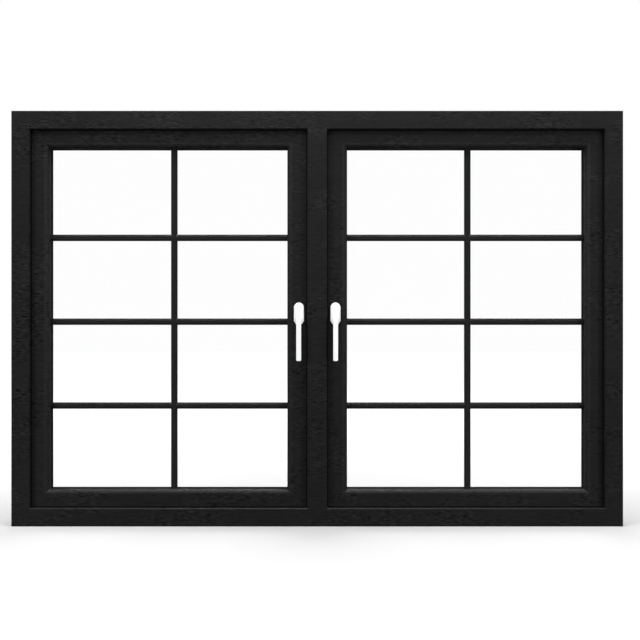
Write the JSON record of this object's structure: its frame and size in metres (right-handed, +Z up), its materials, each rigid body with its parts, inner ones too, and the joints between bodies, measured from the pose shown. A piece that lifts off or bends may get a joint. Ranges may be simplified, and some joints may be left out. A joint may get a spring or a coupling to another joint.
{
  "type": "twin casement window with fixed mullion",
  "caption": "Rectangular black window with two side hung glazed sashes either side of a fixed mullion, barred sealed units and white drop handles.",
  "frame": {"origin": "middle of the flat underside of the frame's sill, at mid depth of the frame", "axes": "+X along the width, to the right as seen from the room; +Y from the room to the outside; +Z up"},
  "size_m": [1.766, 0.104, 1.2],
  "materials": {
    "grained_foil": "satin wood grain foil",
    "bar_foil": "satin",
    "glass": "gloss",
    "spacer": "matte",
    "gasket": "matte",
    "cap_black": "matte",
    "handle_white": "gloss"
  },
  "bodies": {
    "window": {"frame_head": "grained_foil", "frame_left_jamb": "grained_foil", "frame_mullion": "grained_foil", "frame_right_jamb": "grained_foil", "frame_sill": "grained_foil", "left_bar_upright": "bar_foil", "left_bars_cross": "bar_foil", "left_bead_bottom": "grained_foil", "left_bead_left": "grained_foil", "left_bead_right": "grained_foil", "left_bead_top": "grained_foil", "left_glass_inner": "glass", "left_glass_outer": "glass", "left_glass_spacer": "spacer", "left_glazing_gasket_inner": "gasket", "left_glazing_gasket_outer": "gasket", "left_handle_base": "handle_white", "left_inner_gasket": "gasket", "left_outer_gasket": "gasket", "left_sash_bottom_rail": "grained_foil", "left_sash_hinge_stile": "grained_foil", "left_sash_lock_stile": "grained_foil", "left_sash_top_rail": "grained_foil", "right_bar_upright": "bar_foil", "right_bars_cross": "bar_foil", "right_bead_bottom": "grained_foil", "right_bead_left": "grained_foil", "right_bead_right": "grained_foil", "right_bead_top": "grained_foil", "right_glass_inner": "glass", "right_glass_outer": "glass", "right_glass_spacer": "spacer", "right_glazing_gasket_inner": "gasket", "right_glazing_gasket_outer": "gasket", "right_handle_base": "handle_white", "right_inner_gasket": "gasket", "right_outer_gasket": "gasket", "right_sash_bottom_rail": "grained_foil", "right_sash_hinge_stile": "grained_foil", "right_sash_lock_stile": "grained_foil", "right_sash_top_rail": "grained_foil", "sill_drain_caps": "cap_black"},
    "left_handle": {"left_handle_lever": "handle_white"},
    "right_handle": {"right_handle_lever": "handle_white"}
  },
  "joints": [
    {"name": "left_handle_turn", "type": "hinge", "parent": "window", "child": "left_handle", "pos_m": [-0.053, -0.031, 0.602], "axis": [0, 1, 0], "range_deg": [0, 90]},
    {"name": "right_handle_turn", "type": "hinge", "parent": "window", "child": "right_handle", "pos_m": [0.053, -0.031, 0.602], "axis": [0, -1, 0], "range_deg": [0, 90]}
  ]
}
